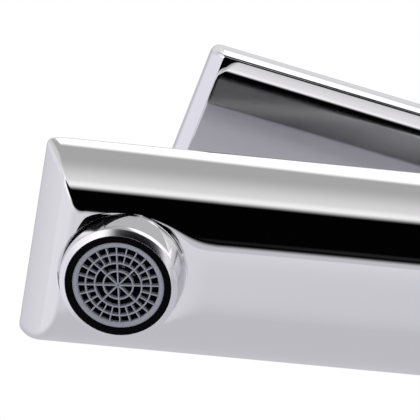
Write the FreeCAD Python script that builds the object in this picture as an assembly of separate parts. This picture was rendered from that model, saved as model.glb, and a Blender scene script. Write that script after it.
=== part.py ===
import FreeCAD, Part
import math
import os

# A single-lever basin mixer. The origin is on the column's axis at the deck, +Z is up and the spout
# points towards -Y. All lengths are in millimetres and all angles in degrees.

# Spout
SPOUT_WIDTH = 46.0
SPOUT_TOP = 112.0          # flat top above the deck
SPOUT_REACH = 118.0        # column axis to the middle of the aerator's seat
SPOUT_TIP = 18.9           # middle of the aerator's seat to the front edge
SPOUT_EDGE = 1.1           # upright band below the top edge
BELLY_RADIUS = 16.2        # rounded belly on each side, below the band
TIP_RISE = 1.7             # underside at the tip above the underside behind it
TIP_LENGTH = 22.5          # length of the raised underside
RAMP_LENGTH = 11.5         # from the raised underside down to the lower one
TIP_ROUND = 5.0            # front face into the underside
FRONT_LEAN = 18.0          # front face back from upright

# Column
COLUMN_STEP = 0.5          # column wider than the spout on each side
COLUMN_CORNER = 12.0
NECK_FILLET = 5.0          # spout into column
COLUMN_WALL = 3.5          # walls on both sides of the riser
COLUMN_BACK_WALL = 4.5     # behind the nut's thread
BASE_ROUND = 1.0
TURRET_RISE = 9.0          # round turret under the dome, above the spout's top
TURRET_WALL = 4.3          # round the nut's thread

# Waterways
INLET_SPACING = 14.0
INLET_SET_BACK = 3.2       # inlets in front of the axis
INLET_THREAD = 9.0         # core of the M10 x 1 thread
INLET_LENGTH = 12.0
PORT_DIAMETER = 5.6
OUTLET_OFFSET = 5.6        # outlet port behind the axis
RISER_DIAMETER = 8.0
CROSSWAY_DROP = 8.0        # way to the riser below the cartridge's seat
SPOUT_WAY_DIAMETER = 6.4
SPOUT_WAY_DROP = 6.1       # middle of the spout's waterway below the top

# Fixing under the deck
SEAL_INSET = 3.0
SEAL_WIDTH = 3.0
SEAL_DEPTH = 2.0
DECK_THICKNESS = 20.0      # deck that the fixing is drawn up against
STUD_DIAMETER = 8.0
STUD_INSET = 13.5          # stud in front of the column's back
STUD_GRIP = 15.0           # screwed into the column
STUD_TAIL = 60.0           # below the deck's top
PLATE_DIAMETER = 54.0
PLATE_SLOT = 30.0          # width of the slot for the hoses
PLATE_WEB = 7.5            # plate in front of the middle of the stud
PLATE_THICKNESS = 2.0
GASKET_THICKNESS = 3.0
NUT_FLATS = 13.0
NUT_HEIGHT = 10.0

# Cartridge, from its seat upwards
CARTRIDGE_DIAMETER = 35.0
CARTRIDGE_DROP = 42.0      # seat below the turret's top
CARTRIDGE_WALL = 1.4
BASE_HEIGHT = 6.0
PEG_DIAMETER = 3.0
PEG_LENGTH = 3.0
PEG_INSET = 4.5            # pegs inside the cartridge's rim
PORT_SEAL_WIDTH = 1.4
PORT_SEAL_HEIGHT = 1.6
FIXED_DISC_HEIGHT = 4.0
DISC_MARGIN = 0.9          # moving disc short of the housing at full lift
MOVING_DISC_HEIGHT = 4.45
CHAMBER_DEPTH = 2.6
CHAMBER_LIP = 0.3          # chamber's front edge behind the disc's middle
CHAMBER_WALL = 1.8
DRIVER_INSET = 0.5         # driver inside the moving disc's rim
DRIVER_HEIGHT = 4.1
SLIDER_WIDTH = 11.2        # block on the driver that slides in the collar
SLIDER_LENGTH = 10.0
SLIDER_HEIGHT = 2.8
FLANGE_HEIGHT = 4.0
COLLAR_DIAMETER = 23.0
COLLAR_ABOVE_PIVOT = 5.0
SHOULDER_HEIGHT = 2.7
NUT_THREAD_STEP = 1.2      # nut's thread outside the cartridge's bore
RETAINING_NUT_HEIGHT = 7.5
RETAINING_NUT_LIP = 4.5    # nut over the cartridge's shoulder
NUT_SLOT_WIDTH = 5.0
NUT_SLOT_DEPTH = 3.0
NUT_SLOT_COUNT = 4

# Stem and dome
STEM_ARM = 11.0            # pivot to the middle of the ball
STEM_SQUARE = 8.0
BALL_DIAMETER = 7.0
NECK_DIAMETER = 4.8
PIN_DIAMETER = 4.0
PIN_INSET = 0.2            # pin's ends inside the collar
DOME_STEP = 5.5            # dome's radius about the pivot, outside the nut's thread
DOME_WALL = 1.4
DOME_OPENING = 30.0
DOME_SKIRT = 6.0
DOME_SKIRT_WALL = 1.9

# Lever
LEVER_TURN = 11.3          # at rest, away from the spout's middle
LEVER_LIFT = 22.0
LEVER_WIDTH = 29.6
LEVER_FRONT = 106.0
LEVER_REAR = 19.5
LEVER_HEIGHT = 10.4        # rim to top
LEVER_EDGE = 4.4           # upright band above the rim
LEVER_SIDE_WALL = 0.4      # lip outside the groove along both sides
LEVER_END_WALL = 3.5       # rim at the front and at the rear
GROOVE_WIDTH = 0.2         # between the rim and the belly
GROOVE_DEPTH = 3.0
BELLY_DROP = 3.6           # flat of the lever's belly below the rim
BELLY_FLAT = 8.7           # width of the flat
BELLY_SLOPE = 9.5          # belly beside the flat, up from level
BELLY_CURVE = 5.1          # radius from the slope up to the shoulder
BELLY_TURN = 38.7          # where the curve meets the shoulder, up from level
BELLY_SHOULDER = 12.0      # radius of the shoulder
BELLY_START = 55.0         # shoulder at the groove, up from level
BELLY_CORNER = 4.0         # belly's corners, seen from below
RIM_CORNER = 1.0           # rim's inner corners, seen from below
STEM_ROOF = 2.0            # lever above the end of the stem
GRUB_DIAMETER = 5.0
GRUB_LENGTH = 7.0
GRUB_KEY = 2.5
GRUB_KEY_DEPTH = 3.0
CAP_DIAMETER = 5.6
CAP_LENGTH = 3.5
CAP_CROWN = 0.4

# Aerator, along its own leaning axis from the seat
AERATOR_LEAN = 13.7        # outlet towards the front
SEAT_DEPTH = 14.4          # middle of the seat below the spout's top
BOSS_DIAMETER = 27.2
BOSS_HEIGHT = 0.8
AERATOR_DIAMETER = 26.6
AERATOR_HEIGHT = 8.3       # seat to outlet face
AERATOR_THREAD = 24.0
THREAD_LENGTH = 6.3
RIM_DIAMETER = 22.8        # mouth of the bevelled rim
RIM_HEIGHT = 1.3
FLAT_ACROSS = 22.4         # wrench flats
FLAT_TURN = 23.0           # flats turned from the side of the spout
FLAT_LAND = 1.0            # round land between the flats and the bevel
WASHER_HEIGHT = 2.0
WASHER_WIDTH = 2.5
MIXING_HEIGHT = 2.2        # chamber above the washer
INSERT_DIAMETER = 19.8
INSERT_WALL = 1.2
INSERT_LEDGE = 1.0
INSERT_FLANGE = 1.4
STRAINER_HEIGHT = 0.8
STRAINER_HOLE = 1.0
PLATE_RINGS = 2            # rings of holes in the strainer and in the jet plate
JET_HEIGHT = 1.0
JET_HOLE = 1.2
GRID_SET_IN = 0.2          # grid inside the outlet face
GRID_HEIGHT = 3.2
GRID_WIDTH = 0.7           # ribs and rings
GRID_RADII = (3.16, 5.0, 6.97)
GRID_OUTER = 8.54
GRID_INNER_SPOKES = 8
GRID_OUTER_SPOKES = 24

# Clearances
THREAD_GAP = 0.05          # screwed and pressed pieces
SEAT_GAP = 0.1             # pieces that drop into place
BORE_GAP = 0.3             # cartridge in its bore
RUN_FIT = 0.05             # shaft in its hole
FILM_GAP = 0.05            # between the ceramic discs
MOVE_GAP = 0.4             # pieces that pass each other
BALL_GAP = 0.15
CUT = 1.0                  # how far cutting tools run past a face

# Radii and lengths that follow
CARTRIDGE_RADIUS = CARTRIDGE_DIAMETER / 2.0
BORE_RADIUS = CARTRIDGE_RADIUS + BORE_GAP
NUT_BORE_RADIUS = BORE_RADIUS + NUT_THREAD_STEP
HOUSING_INNER = CARTRIDGE_RADIUS - CARTRIDGE_WALL
COLLAR_RADIUS = COLLAR_DIAMETER / 2.0
DOME_RADIUS = NUT_BORE_RADIUS + DOME_STEP
RISER_Y = -(NUT_BORE_RADIUS + COLUMN_WALL + RISER_DIAMETER / 2.0)
COLUMN_FRONT = RISER_Y - RISER_DIAMETER / 2.0 - COLUMN_WALL
COLUMN_BACK = NUT_BORE_RADIUS + COLUMN_BACK_WALL
COLUMN_HALF = SPOUT_WIDTH / 2.0 + COLUMN_STEP
STUD_OFFSET = COLUMN_BACK - STUD_INSET
PEG_OFFSET = CARTRIDGE_RADIUS - PEG_INSET
SPOUT_FRONT = -SPOUT_REACH - SPOUT_TIP
SPOUT_DEPTH = SPOUT_EDGE + BELLY_RADIUS
TIP_DEPTH = SPOUT_DEPTH - TIP_RISE
LEAN_RATE = math.tan(math.radians(FRONT_LEAN))
LEVER_ROUND = LEVER_HEIGHT - LEVER_EDGE
LIFT = math.radians(LEVER_LIFT)
DISC_TRAVEL = STEM_ARM * math.sin(LIFT)
MOVING_DISC_RADIUS = HOUSING_INNER - DISC_TRAVEL - DISC_MARGIN
DRIVER_RADIUS = MOVING_DISC_RADIUS - DRIVER_INSET

# Heights that follow
TURRET_TOP = SPOUT_TOP + TURRET_RISE
SEAT_Z = TURRET_TOP - CARTRIDGE_DROP
FIXED_DISC_Z = SEAT_Z + BASE_HEIGHT
MOVING_DISC_Z = FIXED_DISC_Z + FIXED_DISC_HEIGHT + FILM_GAP
DRIVER_Z = MOVING_DISC_Z + MOVING_DISC_HEIGHT
COLLAR_Z = DRIVER_Z + DRIVER_HEIGHT + MOVE_GAP
SHOULDER_Z = COLLAR_Z + FLANGE_HEIGHT + MOVE_GAP
RETAINING_NUT_Z = SHOULDER_Z + SHOULDER_HEIGHT
PIVOT_Z = COLLAR_Z + STEM_ARM
HUB_Z = PIVOT_Z + DOME_RADIUS + MOVE_GAP
RIM_Z = HUB_Z + BELLY_DROP
LEVER_TOP = RIM_Z + LEVER_HEIGHT
STEM_TOP = LEVER_TOP - STEM_ROOF
GRUB_Z = (RIM_Z + LEVER_TOP) / 2.0
GASKET_Z = -DECK_THICKNESS - GASKET_THICKNESS
PLATE_Z = GASKET_Z - PLATE_THICKNESS

# Places of the waterways
INLETS = ((-INLET_SPACING / 2.0, -INLET_SET_BACK), (INLET_SPACING / 2.0, -INLET_SET_BACK))
PORTS = INLETS + ((0.0, OUTLET_OFFSET),)

X_AXIS = FreeCAD.Vector(1, 0, 0)
Z_AXIS = FreeCAD.Vector(0, 0, 1)


def point(x, y, z):
    return FreeCAD.Vector(x, y, z)


def cylinder(radius, bottom, top, x=0.0, y=0.0):
    """Upright cylinder between two heights."""
    return Part.makeCylinder(radius, top - bottom, point(x, y, bottom))


def ring(outer, inner, bottom, top, x=0.0, y=0.0):
    """Upright ring between two heights."""
    return cylinder(outer, bottom, top, x, y).cut(cylinder(inner, bottom - CUT, top + CUT, x, y))


def block(half_width, front, back, bottom, top):
    """Box that is centred on the YZ plane."""
    return Part.makeBox(2.0 * half_width, back - front, top - bottom, point(-half_width, front, bottom))


def rounded_block(half_width, front, back, bottom, top, corner):
    """Box with its upright edges rounded."""
    solid = block(half_width, front, back, bottom, top)
    upright = [edge for edge in solid.Edges if abs(edge.tangentAt(edge.FirstParameter).z) > 0.99]
    return solid.makeFillet(corner, upright)


def rod(radius, start, end):
    """Cylinder from one point to another."""
    way = end.sub(start)
    return Part.makeCylinder(radius, way.Length, start, way)


def revolved(profile):
    """Solid turned about Z from (radius, height) corners."""
    corners = [point(radius, 0, height) for radius, height in profile]
    face = Part.Face(Part.makePolygon(corners + corners[:1]))
    return face.revolve(point(0, 0, 0), Z_AXIS, 360)


def hexagon(flats, bottom, top, x=0.0, y=0.0):
    """Upright hexagonal prism."""
    reach = flats / math.sqrt(3.0)
    angles = [math.radians(60 * step) for step in range(7)]
    corners = [point(x + reach * math.cos(a), y + reach * math.sin(a), bottom) for a in angles]
    return Part.Face(Part.makePolygon(corners)).extrude(point(0, 0, top - bottom))


def quarter_round(start, corner, end):
    """Quarter of a circle that leaves start towards corner and reaches end coming from corner."""
    centre = start + end - corner
    middle = centre + (corner - centre) / math.sqrt(2.0)
    return Part.Arc(start, middle, end).toShape()


def line(start, end):
    return Part.LineSegment(start, end).toShape()


def turned(solid):
    """Turn a piece that follows the lever from the spout's middle to the lever's rest."""
    solid.rotate(point(0, 0, 0), Z_AXIS, LEVER_TURN)
    return solid


def leaning(solid):
    """Move a piece from the aerator's own axis, outlet down, to its seat on the spout."""
    solid.Placement = FreeCAD.Placement(
        point(0, -SPOUT_REACH, SPOUT_TOP - SEAT_DEPTH), FreeCAD.Rotation(X_AXIS, -AERATOR_LEAN)
    )
    return solid


def spout_blank():
    """Spout with a square front: flat top, upright bands and a rounded belly."""
    start = SPOUT_FRONT - CUT
    half = SPOUT_WIDTH / 2.0
    flat = half - BELLY_RADIUS
    band = SPOUT_TOP - SPOUT_EDGE
    low = SPOUT_TOP - SPOUT_DEPTH
    right = quarter_round(point(half, start, band), point(half, start, low), point(flat, start, low))
    left = quarter_round(point(-flat, start, low), point(-half, start, low), point(-half, start, band))
    edges = [
        line(point(-half, start, SPOUT_TOP), point(half, start, SPOUT_TOP)),
        line(point(half, start, SPOUT_TOP), point(half, start, band)),
        right,
        line(point(flat, start, low), point(-flat, start, low)),
        left,
        line(point(-half, start, band), point(-half, start, SPOUT_TOP)),
    ]
    return Part.Face(Part.Wire(edges)).extrude(point(0, -BORE_RADIUS - start, 0))


def tip_profile():
    """Slab with the side view of the tip: leaning front, raised underside and the ramp behind it."""
    left = -SPOUT_WIDTH
    tip_z = SPOUT_TOP - TIP_DEPTH
    low_z = tip_z - 2.0 * TIP_RISE
    ramp_y = SPOUT_FRONT + TIP_LENGTH
    corners = [
        point(left, SPOUT_FRONT - CUT * LEAN_RATE, SPOUT_TOP + CUT),
        point(left, SPOUT_FRONT + TIP_DEPTH * LEAN_RATE, tip_z),
        point(left, ramp_y, tip_z),
        point(left, ramp_y + 2.0 * RAMP_LENGTH, low_z),
        point(left, 0, low_z),
        point(left, 0, SPOUT_TOP + CUT),
    ]
    face = Part.Face(Part.makePolygon(corners + corners[:1]))
    slab = face.extrude(point(2.0 * SPOUT_WIDTH, 0, 0))
    chin = [edge for edge in slab.Edges if edge.BoundBox.YMax < ramp_y and edge.BoundBox.ZMax < SPOUT_TOP]
    return slab.makeFillet(TIP_ROUND, chin)


def column_outline(inset, bottom, top):
    """Block with the column's outline, drawn in by an inset."""
    half = COLUMN_HALF - inset
    return rounded_block(half, COLUMN_FRONT + inset, COLUMN_BACK - inset, bottom, top, COLUMN_CORNER - inset)


def column():
    solid = column_outline(0.0, 0.0, SPOUT_TOP)
    foot = [edge for edge in solid.Edges if edge.BoundBox.ZMax < CUT]
    return solid.makeFillet(BASE_ROUND, foot)


def casting():
    """Column and spout as one casting, with the neck rounded under the spout."""
    spout = spout_blank().common(tip_profile())
    solid = column().fuse(spout).removeSplitter()
    neck = [edge for edge in solid.Edges if is_neck(edge.BoundBox)]
    return solid.makeFillet(NECK_FILLET, neck)


def is_neck(box):
    """Edges where the spout leaves the front of the column."""
    behind = COLUMN_FRONT + COLUMN_CORNER + CUT
    under_spout = box.ZMin > SPOUT_TOP - SPOUT_DEPTH - CUT
    at_column = box.YMin > COLUMN_FRONT - CUT and box.YMax < behind
    return under_spout and at_column and box.ZMin < SPOUT_TOP - CUT / 2.0


def waterways():
    """Inlets up to the cartridge's seat, and the outlet by way of the riser to the aerator."""
    crossway_z = SEAT_Z - CROSSWAY_DROP
    spout_way_z = SPOUT_TOP - SPOUT_WAY_DROP
    way = PORT_DIAMETER / 2.0
    outlet_way = SPOUT_WAY_DIAMETER / 2.0
    ways = [cylinder(way, INLET_LENGTH - CUT, SEAT_Z + CUT, x, y) for x, y in INLETS]
    ways += [cylinder(INLET_THREAD / 2.0, -CUT, INLET_LENGTH, x, y) for x, y in INLETS]
    ways.append(cylinder(way, crossway_z, SEAT_Z + CUT, 0, OUTLET_OFFSET))
    ways.append(rod(way, point(0, OUTLET_OFFSET, crossway_z), point(0, RISER_Y, crossway_z)))
    riser_top = spout_way_z + outlet_way + CUT
    ways.append(cylinder(RISER_DIAMETER / 2.0, crossway_z - way - CUT, riser_top, 0, RISER_Y))
    ways.append(rod(outlet_way, point(0, RISER_Y, spout_way_z), point(0, -SPOUT_REACH, spout_way_z)))
    return ways


def seal_groove(bottom, top, gap):
    """Closed band in the base, inside the outline of the column."""
    outside = column_outline(SEAL_INSET + gap, bottom, top)
    inside = column_outline(SEAL_INSET + SEAL_WIDTH - gap, bottom - CUT, top + CUT)
    return outside.cut(inside)


def mixer_body():
    boss = cylinder(BOSS_DIAMETER / 2.0, -BOSS_HEIGHT, SEAT_DEPTH / 3.0)
    pocket = cylinder(BOSS_DIAMETER / 2.0, -BOSS_HEIGHT - SPOUT_DEPTH, -BOSS_HEIGHT)
    turret = cylinder(NUT_BORE_RADIUS + TURRET_WALL, SPOUT_TOP - CUT, TURRET_TOP)
    solid = casting().fuse([turret, leaning(boss)]).cut(leaning(pocket))
    thread = cylinder(AERATOR_THREAD / 2.0, -BOSS_HEIGHT - CUT, washer_top())
    mixing = cylinder(AERATOR_THREAD / 2.0 - WASHER_WIDTH, 0, washer_top() + MIXING_HEIGHT)
    pegs = [cylinder(PEG_DIAMETER / 2.0 + SEAT_GAP, SEAT_Z - PEG_LENGTH - SEAT_GAP, SEAT_Z + CUT, x)
            for x in (-PEG_OFFSET, PEG_OFFSET)]
    cuts = waterways() + pegs
    cuts.append(cylinder(BORE_RADIUS, SEAT_Z, TURRET_TOP + CUT))
    cuts.append(cylinder(NUT_BORE_RADIUS, RETAINING_NUT_Z, TURRET_TOP + CUT))
    cuts.append(cylinder(STUD_DIAMETER / 2.0, -CUT, STUD_GRIP, 0, STUD_OFFSET))
    cuts.append(seal_groove(-CUT, SEAL_DEPTH, 0.0))
    cuts.append(leaning(thread))
    cuts.append(leaning(mixing))
    return solid.cut(cuts).removeSplitter()


def base_seal():
    return seal_groove(0, SEAL_DEPTH, THREAD_GAP)


def fixing_stud():
    radius = STUD_DIAMETER / 2.0 - THREAD_GAP
    stud = cylinder(radius, -STUD_TAIL, STUD_GRIP, 0, STUD_OFFSET)
    return stud.makeChamfer(radius / 4.0, [edge for edge in stud.Edges if edge.Closed])


def horseshoe(bottom, top):
    """Round plate with a slot for the hoses and a hole for the stud."""
    plate = cylinder(PLATE_DIAMETER / 2.0, bottom, top)
    slot_end = STUD_OFFSET - PLATE_WEB
    slot = rounded_block(
        PLATE_SLOT / 2.0, -PLATE_DIAMETER, slot_end, bottom - CUT, top + CUT, PLATE_SLOT / 6.0
    )
    hole = cylinder(STUD_DIAMETER / 2.0 + SEAT_GAP, bottom - CUT, top + CUT, 0, STUD_OFFSET)
    return plate.cut(slot).cut(hole)


def deck_gasket():
    return horseshoe(GASKET_Z, -DECK_THICKNESS)


def clamp_plate():
    return horseshoe(PLATE_Z, GASKET_Z)


def fixing_nut():
    nut = hexagon(NUT_FLATS, PLATE_Z - NUT_HEIGHT, PLATE_Z, 0, STUD_OFFSET)
    return nut.cut(cylinder(STUD_DIAMETER / 2.0, PLATE_Z - NUT_HEIGHT - CUT, PLATE_Z + CUT, 0, STUD_OFFSET))


def cartridge_base():
    port = PORT_DIAMETER / 2.0
    solid = cylinder(CARTRIDGE_RADIUS, SEAT_Z, FIXED_DISC_Z)
    for x in (-PEG_OFFSET, PEG_OFFSET):
        solid = solid.fuse(cylinder(PEG_DIAMETER / 2.0, SEAT_Z - PEG_LENGTH, SEAT_Z + CUT, x))
    for x, y in PORTS:
        solid = solid.cut(cylinder(port, SEAT_Z - CUT, FIXED_DISC_Z + CUT, x, y))
        solid = solid.cut(cylinder(port + PORT_SEAL_WIDTH, SEAT_Z - CUT, SEAT_Z + PORT_SEAL_HEIGHT, x, y))
    return solid


def port_seals():
    inner = PORT_DIAMETER / 2.0
    outer = inner + PORT_SEAL_WIDTH - THREAD_GAP
    rings = [ring(outer, inner, SEAT_Z, SEAT_Z + PORT_SEAL_HEIGHT, x, y) for x, y in PORTS]
    return Part.makeCompound(rings)


def fixed_disc():
    disc = cylinder(HOUSING_INNER - SEAT_GAP, FIXED_DISC_Z, FIXED_DISC_Z + FIXED_DISC_HEIGHT)
    for x, y in PORTS:
        disc = disc.cut(cylinder(PORT_DIAMETER / 2.0, FIXED_DISC_Z - CUT, MOVING_DISC_Z + CUT, x, y))
    return disc


def moving_disc():
    """Upper disc, with the mixing chamber sunk in its underside behind the inlets."""
    chamber_top = MOVING_DISC_Z + CHAMBER_DEPTH
    disc = cylinder(MOVING_DISC_RADIUS, MOVING_DISC_Z, DRIVER_Z)
    chamber = cylinder(MOVING_DISC_RADIUS - CHAMBER_WALL, MOVING_DISC_Z - CUT, chamber_top)
    rear = block(MOVING_DISC_RADIUS, CHAMBER_LIP, MOVING_DISC_RADIUS, MOVING_DISC_Z - CUT, chamber_top)
    return turned(disc.cut(chamber.common(rear)))


def disc_driver():
    """Carrier on the moving disc, with a sliding block and a socket for the stem's ball."""
    top = DRIVER_Z + DRIVER_HEIGHT
    carrier = cylinder(DRIVER_RADIUS, DRIVER_Z, top)
    half_length = SLIDER_LENGTH / 2.0
    slider = block(SLIDER_WIDTH / 2.0, -half_length, half_length, top - CUT, top + SLIDER_HEIGHT)
    socket = cylinder(BALL_DIAMETER / 2.0 + BALL_GAP, DRIVER_Z - CUT, top + SLIDER_HEIGHT + CUT)
    return turned(carrier.fuse(slider).cut(socket).removeSplitter())


def turning_collar():
    """Rotor that carries the pivot pin, with a slot for the stem and a guide for the driver."""
    top = PIVOT_Z + COLLAR_ABOVE_PIVOT
    flange = cylinder(HOUSING_INNER - MOVE_GAP, COLLAR_Z, COLLAR_Z + FLANGE_HEIGHT)
    solid = flange.fuse(cylinder(COLLAR_RADIUS, COLLAR_Z, top))
    swing = STEM_SQUARE / 2.0 / math.cos(LIFT) + COLLAR_ABOVE_PIVOT * math.tan(LIFT) + MOVE_GAP
    ball_reach = DISC_TRAVEL + BALL_DIAMETER / 2.0 + MOVE_GAP
    slot = block(STEM_SQUARE / 2.0 + MOVE_GAP, -max(swing, ball_reach), swing, COLLAR_Z - CUT, top + CUT)
    half_length = SLIDER_LENGTH / 2.0 + MOVE_GAP
    guide_top = COLLAR_Z + SLIDER_HEIGHT
    guide = block(
        SLIDER_WIDTH / 2.0 + SEAT_GAP, -half_length - DISC_TRAVEL, half_length, COLLAR_Z - CUT, guide_top
    )
    return turned(solid.cut([slot, guide, pin_bore(COLLAR_RADIUS + CUT)]).removeSplitter())


def pin_bore(half_length):
    """Hole for the pivot pin."""
    return rod(PIN_DIAMETER / 2.0, point(-half_length, 0, PIVOT_Z), point(half_length, 0, PIVOT_Z))


def pivot_pin():
    half = COLLAR_RADIUS - PIN_INSET
    radius = PIN_DIAMETER / 2.0 - THREAD_GAP
    return turned(rod(radius, point(-half, 0, PIVOT_Z), point(half, 0, PIVOT_Z)))


def cartridge_housing():
    """Sleeve round the discs that closes in over the collar's flange."""
    shell = ring(CARTRIDGE_RADIUS, HOUSING_INNER, FIXED_DISC_Z, RETAINING_NUT_Z)
    shoulder = ring(CARTRIDGE_RADIUS, COLLAR_RADIUS + RUN_FIT, SHOULDER_Z, RETAINING_NUT_Z)
    return shell.fuse(shoulder).removeSplitter()


def retaining_nut():
    top = RETAINING_NUT_Z + RETAINING_NUT_HEIGHT
    nut = ring(NUT_BORE_RADIUS - THREAD_GAP, CARTRIDGE_RADIUS - RETAINING_NUT_LIP, RETAINING_NUT_Z, top)
    for step in range(NUT_SLOT_COUNT):
        slot = block(NUT_SLOT_WIDTH / 2.0, 0, CARTRIDGE_DIAMETER, top - NUT_SLOT_DEPTH, top + CUT)
        slot.rotate(point(0, 0, 0), Z_AXIS, step * 360.0 / NUT_SLOT_COUNT)
        nut = nut.cut(slot)
    return nut


def dome_cover():
    """Round cover about the pivot, with a flange on the turret and a skirt in the nut's thread."""
    centre = point(0, 0, PIVOT_Z)
    flange_top = TURRET_TOP + DOME_WALL
    skirt_outer = NUT_BORE_RADIUS - THREAD_GAP
    skirt_inner = skirt_outer - DOME_SKIRT_WALL
    above = cylinder(2.0 * DOME_RADIUS, TURRET_TOP, TURRET_TOP + 2.0 * DOME_RADIUS)
    hollow = Part.makeSphere(DOME_RADIUS - DOME_WALL, centre)
    hollow = hollow.common(cylinder(2.0 * DOME_RADIUS, flange_top, TURRET_TOP + 2.0 * DOME_RADIUS))
    solid = Part.makeSphere(DOME_RADIUS, centre).common(above).cut(hollow)
    solid = solid.fuse(cylinder(skirt_outer, TURRET_TOP - DOME_SKIRT, flange_top))
    solid = solid.cut(cylinder(skirt_inner, TURRET_TOP - DOME_SKIRT - CUT, flange_top + CUT))
    opening = cylinder(DOME_OPENING / 2.0, flange_top, TURRET_TOP + 2.0 * DOME_RADIUS)
    return solid.cut(opening).removeSplitter()


def lever_blank():
    """Outside of the lever, rounded along both sides and at the front."""
    start = -LEVER_FRONT - CUT
    half = LEVER_WIDTH / 2.0
    flat = half - LEVER_ROUND
    band = RIM_Z + LEVER_EDGE
    top = LEVER_TOP
    right = quarter_round(point(half, start, band), point(half, start, top), point(flat, start, top))
    left = quarter_round(point(-flat, start, top), point(-half, start, top), point(-half, start, band))
    edges = [
        line(point(-half, start, RIM_Z), point(half, start, RIM_Z)),
        line(point(half, start, RIM_Z), point(half, start, band)),
        right,
        line(point(flat, start, top), point(-flat, start, top)),
        left,
        line(point(-half, start, band), point(-half, start, RIM_Z)),
    ]
    bar = Part.Face(Part.Wire(edges)).extrude(point(0, LEVER_REAR + CUT - start, 0))
    return bar.common(lever_profile())


def lever_profile():
    """Slab with the side view of the lever, rounded at the top of the front."""
    slab = block(LEVER_WIDTH, -LEVER_FRONT, LEVER_REAR, RIM_Z - CUT, LEVER_TOP + CUT)
    nose = [edge for edge in slab.Edges
            if edge.BoundBox.YMax < CUT - LEVER_FRONT and edge.BoundBox.ZMin > LEVER_TOP]
    return slab.makeFillet(LEVER_ROUND, nose)


def underside_block(inset, corner, bottom, top):
    """Block inside the rim of the lever, drawn in by an inset."""
    half = LEVER_WIDTH / 2.0 - LEVER_SIDE_WALL - inset
    front = LEVER_END_WALL + inset - LEVER_FRONT
    back = LEVER_REAR - LEVER_END_WALL - inset
    return rounded_block(half, front, back, bottom, top, corner)


def belly_arc(outer, radius, start, end):
    """Arc across the belly, inwards and down from an outer point, from one tilt to another."""
    tilts = [math.radians(tilt) for tilt in (start, (start + end) / 2.0, end)]
    middle_x = outer.x - radius * math.sin(tilts[0])
    middle_z = outer.z + radius * math.cos(tilts[0])
    return [point(middle_x + radius * math.sin(tilt), outer.y, middle_z - radius * math.cos(tilt))
            for tilt in tilts]


def belly_drop(radius, start, end):
    """How far an arc of the belly drops from one tilt to another."""
    return radius * (math.cos(math.radians(end)) - math.cos(math.radians(start)))


def belly_span(radius, start, end):
    """How far an arc of the belly runs inwards from one tilt to another."""
    return radius * (math.sin(math.radians(start)) - math.sin(math.radians(end)))


def lever_belly():
    """Belly inside the rim: a flat that clears the dome, and a slope, a curve and a shoulder on each side."""
    half = LEVER_WIDTH / 2.0 - LEVER_SIDE_WALL - GROOVE_WIDTH
    flat = BELLY_FLAT / 2.0
    front = -LEVER_FRONT
    root = RIM_Z + GROOVE_DEPTH + CUT
    arcs_span = belly_span(BELLY_SHOULDER, BELLY_START, BELLY_TURN)
    arcs_span += belly_span(BELLY_CURVE, BELLY_TURN, BELLY_SLOPE)
    slope_drop = (half - arcs_span - flat) * math.tan(math.radians(BELLY_SLOPE))
    drop = slope_drop + belly_drop(BELLY_SHOULDER, BELLY_START, BELLY_TURN)
    drop += belly_drop(BELLY_CURVE, BELLY_TURN, BELLY_SLOPE)
    shoulder = belly_arc(point(half, front, HUB_Z + drop), BELLY_SHOULDER, BELLY_START, BELLY_TURN)
    curve = belly_arc(shoulder[2], BELLY_CURVE, BELLY_TURN, BELLY_SLOPE)
    edges = [
        line(point(0, front, root), point(half, front, root)),
        line(point(half, front, root), shoulder[0]),
        Part.Arc(*shoulder).toShape(),
        Part.Arc(*curve).toShape(),
        line(curve[2], point(flat, front, HUB_Z)),
        line(point(flat, front, HUB_Z), point(0, front, HUB_Z)),
        line(point(0, front, HUB_Z), point(0, front, root)),
    ]
    right = Part.Face(Part.Wire(edges)).extrude(point(0, LEVER_FRONT + LEVER_REAR, 0))
    bar = right.fuse(right.mirror(point(0, 0, 0), X_AXIS)).removeSplitter()
    return bar.common(underside_block(GROOVE_WIDTH, BELLY_CORNER, HUB_Z - CUT, root + CUT))


def lever():
    half_stem = STEM_SQUARE / 2.0 + THREAD_GAP
    groove = underside_block(0.0, RIM_CORNER, RIM_Z - CUT, RIM_Z + GROOVE_DEPTH)
    socket = block(half_stem, -half_stem, half_stem, HUB_Z - CUT, STEM_TOP)
    screw_hole = rod(GRUB_DIAMETER / 2.0, point(0, 0, GRUB_Z), point(0, LEVER_REAR, GRUB_Z))
    cap_start = point(0, LEVER_REAR - CAP_LENGTH, GRUB_Z)
    cap_hole = rod(CAP_DIAMETER / 2.0, cap_start, point(0, LEVER_REAR + CUT, GRUB_Z))
    solid = lever_blank().cut(groove).fuse(lever_belly())
    return turned(solid.cut([socket, screw_hole, cap_hole]).removeSplitter())


def lever_stem():
    """Square stem with a pin hole, a round neck and a ball that pushes the driver."""
    half = STEM_SQUARE / 2.0
    ball_z = PIVOT_Z - STEM_ARM
    square = block(half, -half, half, PIVOT_Z - COLLAR_ABOVE_PIVOT, STEM_TOP)
    neck = cylinder(NECK_DIAMETER / 2.0, ball_z, PIVOT_Z)
    ball = Part.makeSphere(BALL_DIAMETER / 2.0, point(0, 0, ball_z))
    return turned(square.fuse([neck, ball]).cut(pin_bore(half + CUT)).removeSplitter())


def grub_screw():
    """Set screw against the rear of the stem, with a hexagon socket."""
    start = STEM_SQUARE / 2.0
    screw = cylinder(GRUB_DIAMETER / 2.0 - THREAD_GAP, 0, GRUB_LENGTH)
    screw = screw.cut(hexagon(GRUB_KEY, GRUB_LENGTH - GRUB_KEY_DEPTH, GRUB_LENGTH + CUT))
    return turned(facing_rear(screw, start))


def facing_rear(solid, y):
    """Lay an upright piece along the grub screw's axis, top to the rear."""
    solid.Placement = FreeCAD.Placement(point(0, y, GRUB_Z), FreeCAD.Rotation(X_AXIS, -90))
    return solid


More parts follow.
